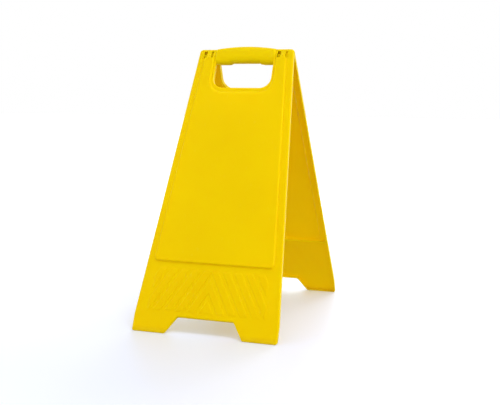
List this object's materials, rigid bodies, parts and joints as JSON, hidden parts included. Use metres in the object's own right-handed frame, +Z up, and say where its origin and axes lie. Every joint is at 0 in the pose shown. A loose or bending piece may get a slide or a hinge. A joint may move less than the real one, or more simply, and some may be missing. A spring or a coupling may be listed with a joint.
{
  "type": "folding floor stand",
  "caption": "Blank folding A-frame floor stand: matching moulded leaves clip-hinged at the top, each with a raised sign panel, hand hole, half-barrel handle and notched feet.",
  "frame": {"origin": "on the floor, directly below the middle of the hinge, stand open", "axes": "+Z up, X along the hinge, the front leaf faces -Y and the rear leaf +Y"},
  "size_m": [0.2974, 0.4914, 0.5636],
  "materials": {
    "leaf": "semi-gloss moulded yellow polypropylene with a fine even grain"
  },
  "bodies": {
    "front": {"front_leaf": "leaf"},
    "rear": {"rear_leaf": "leaf"}
  },
  "joints": [
    {"name": "fold", "type": "hinge", "parent": "front", "child": "rear", "pos_m": [0, 0, 0.54294], "axis": [-1, 0, 0], "range_deg": [0, 47.2]}
  ]
}
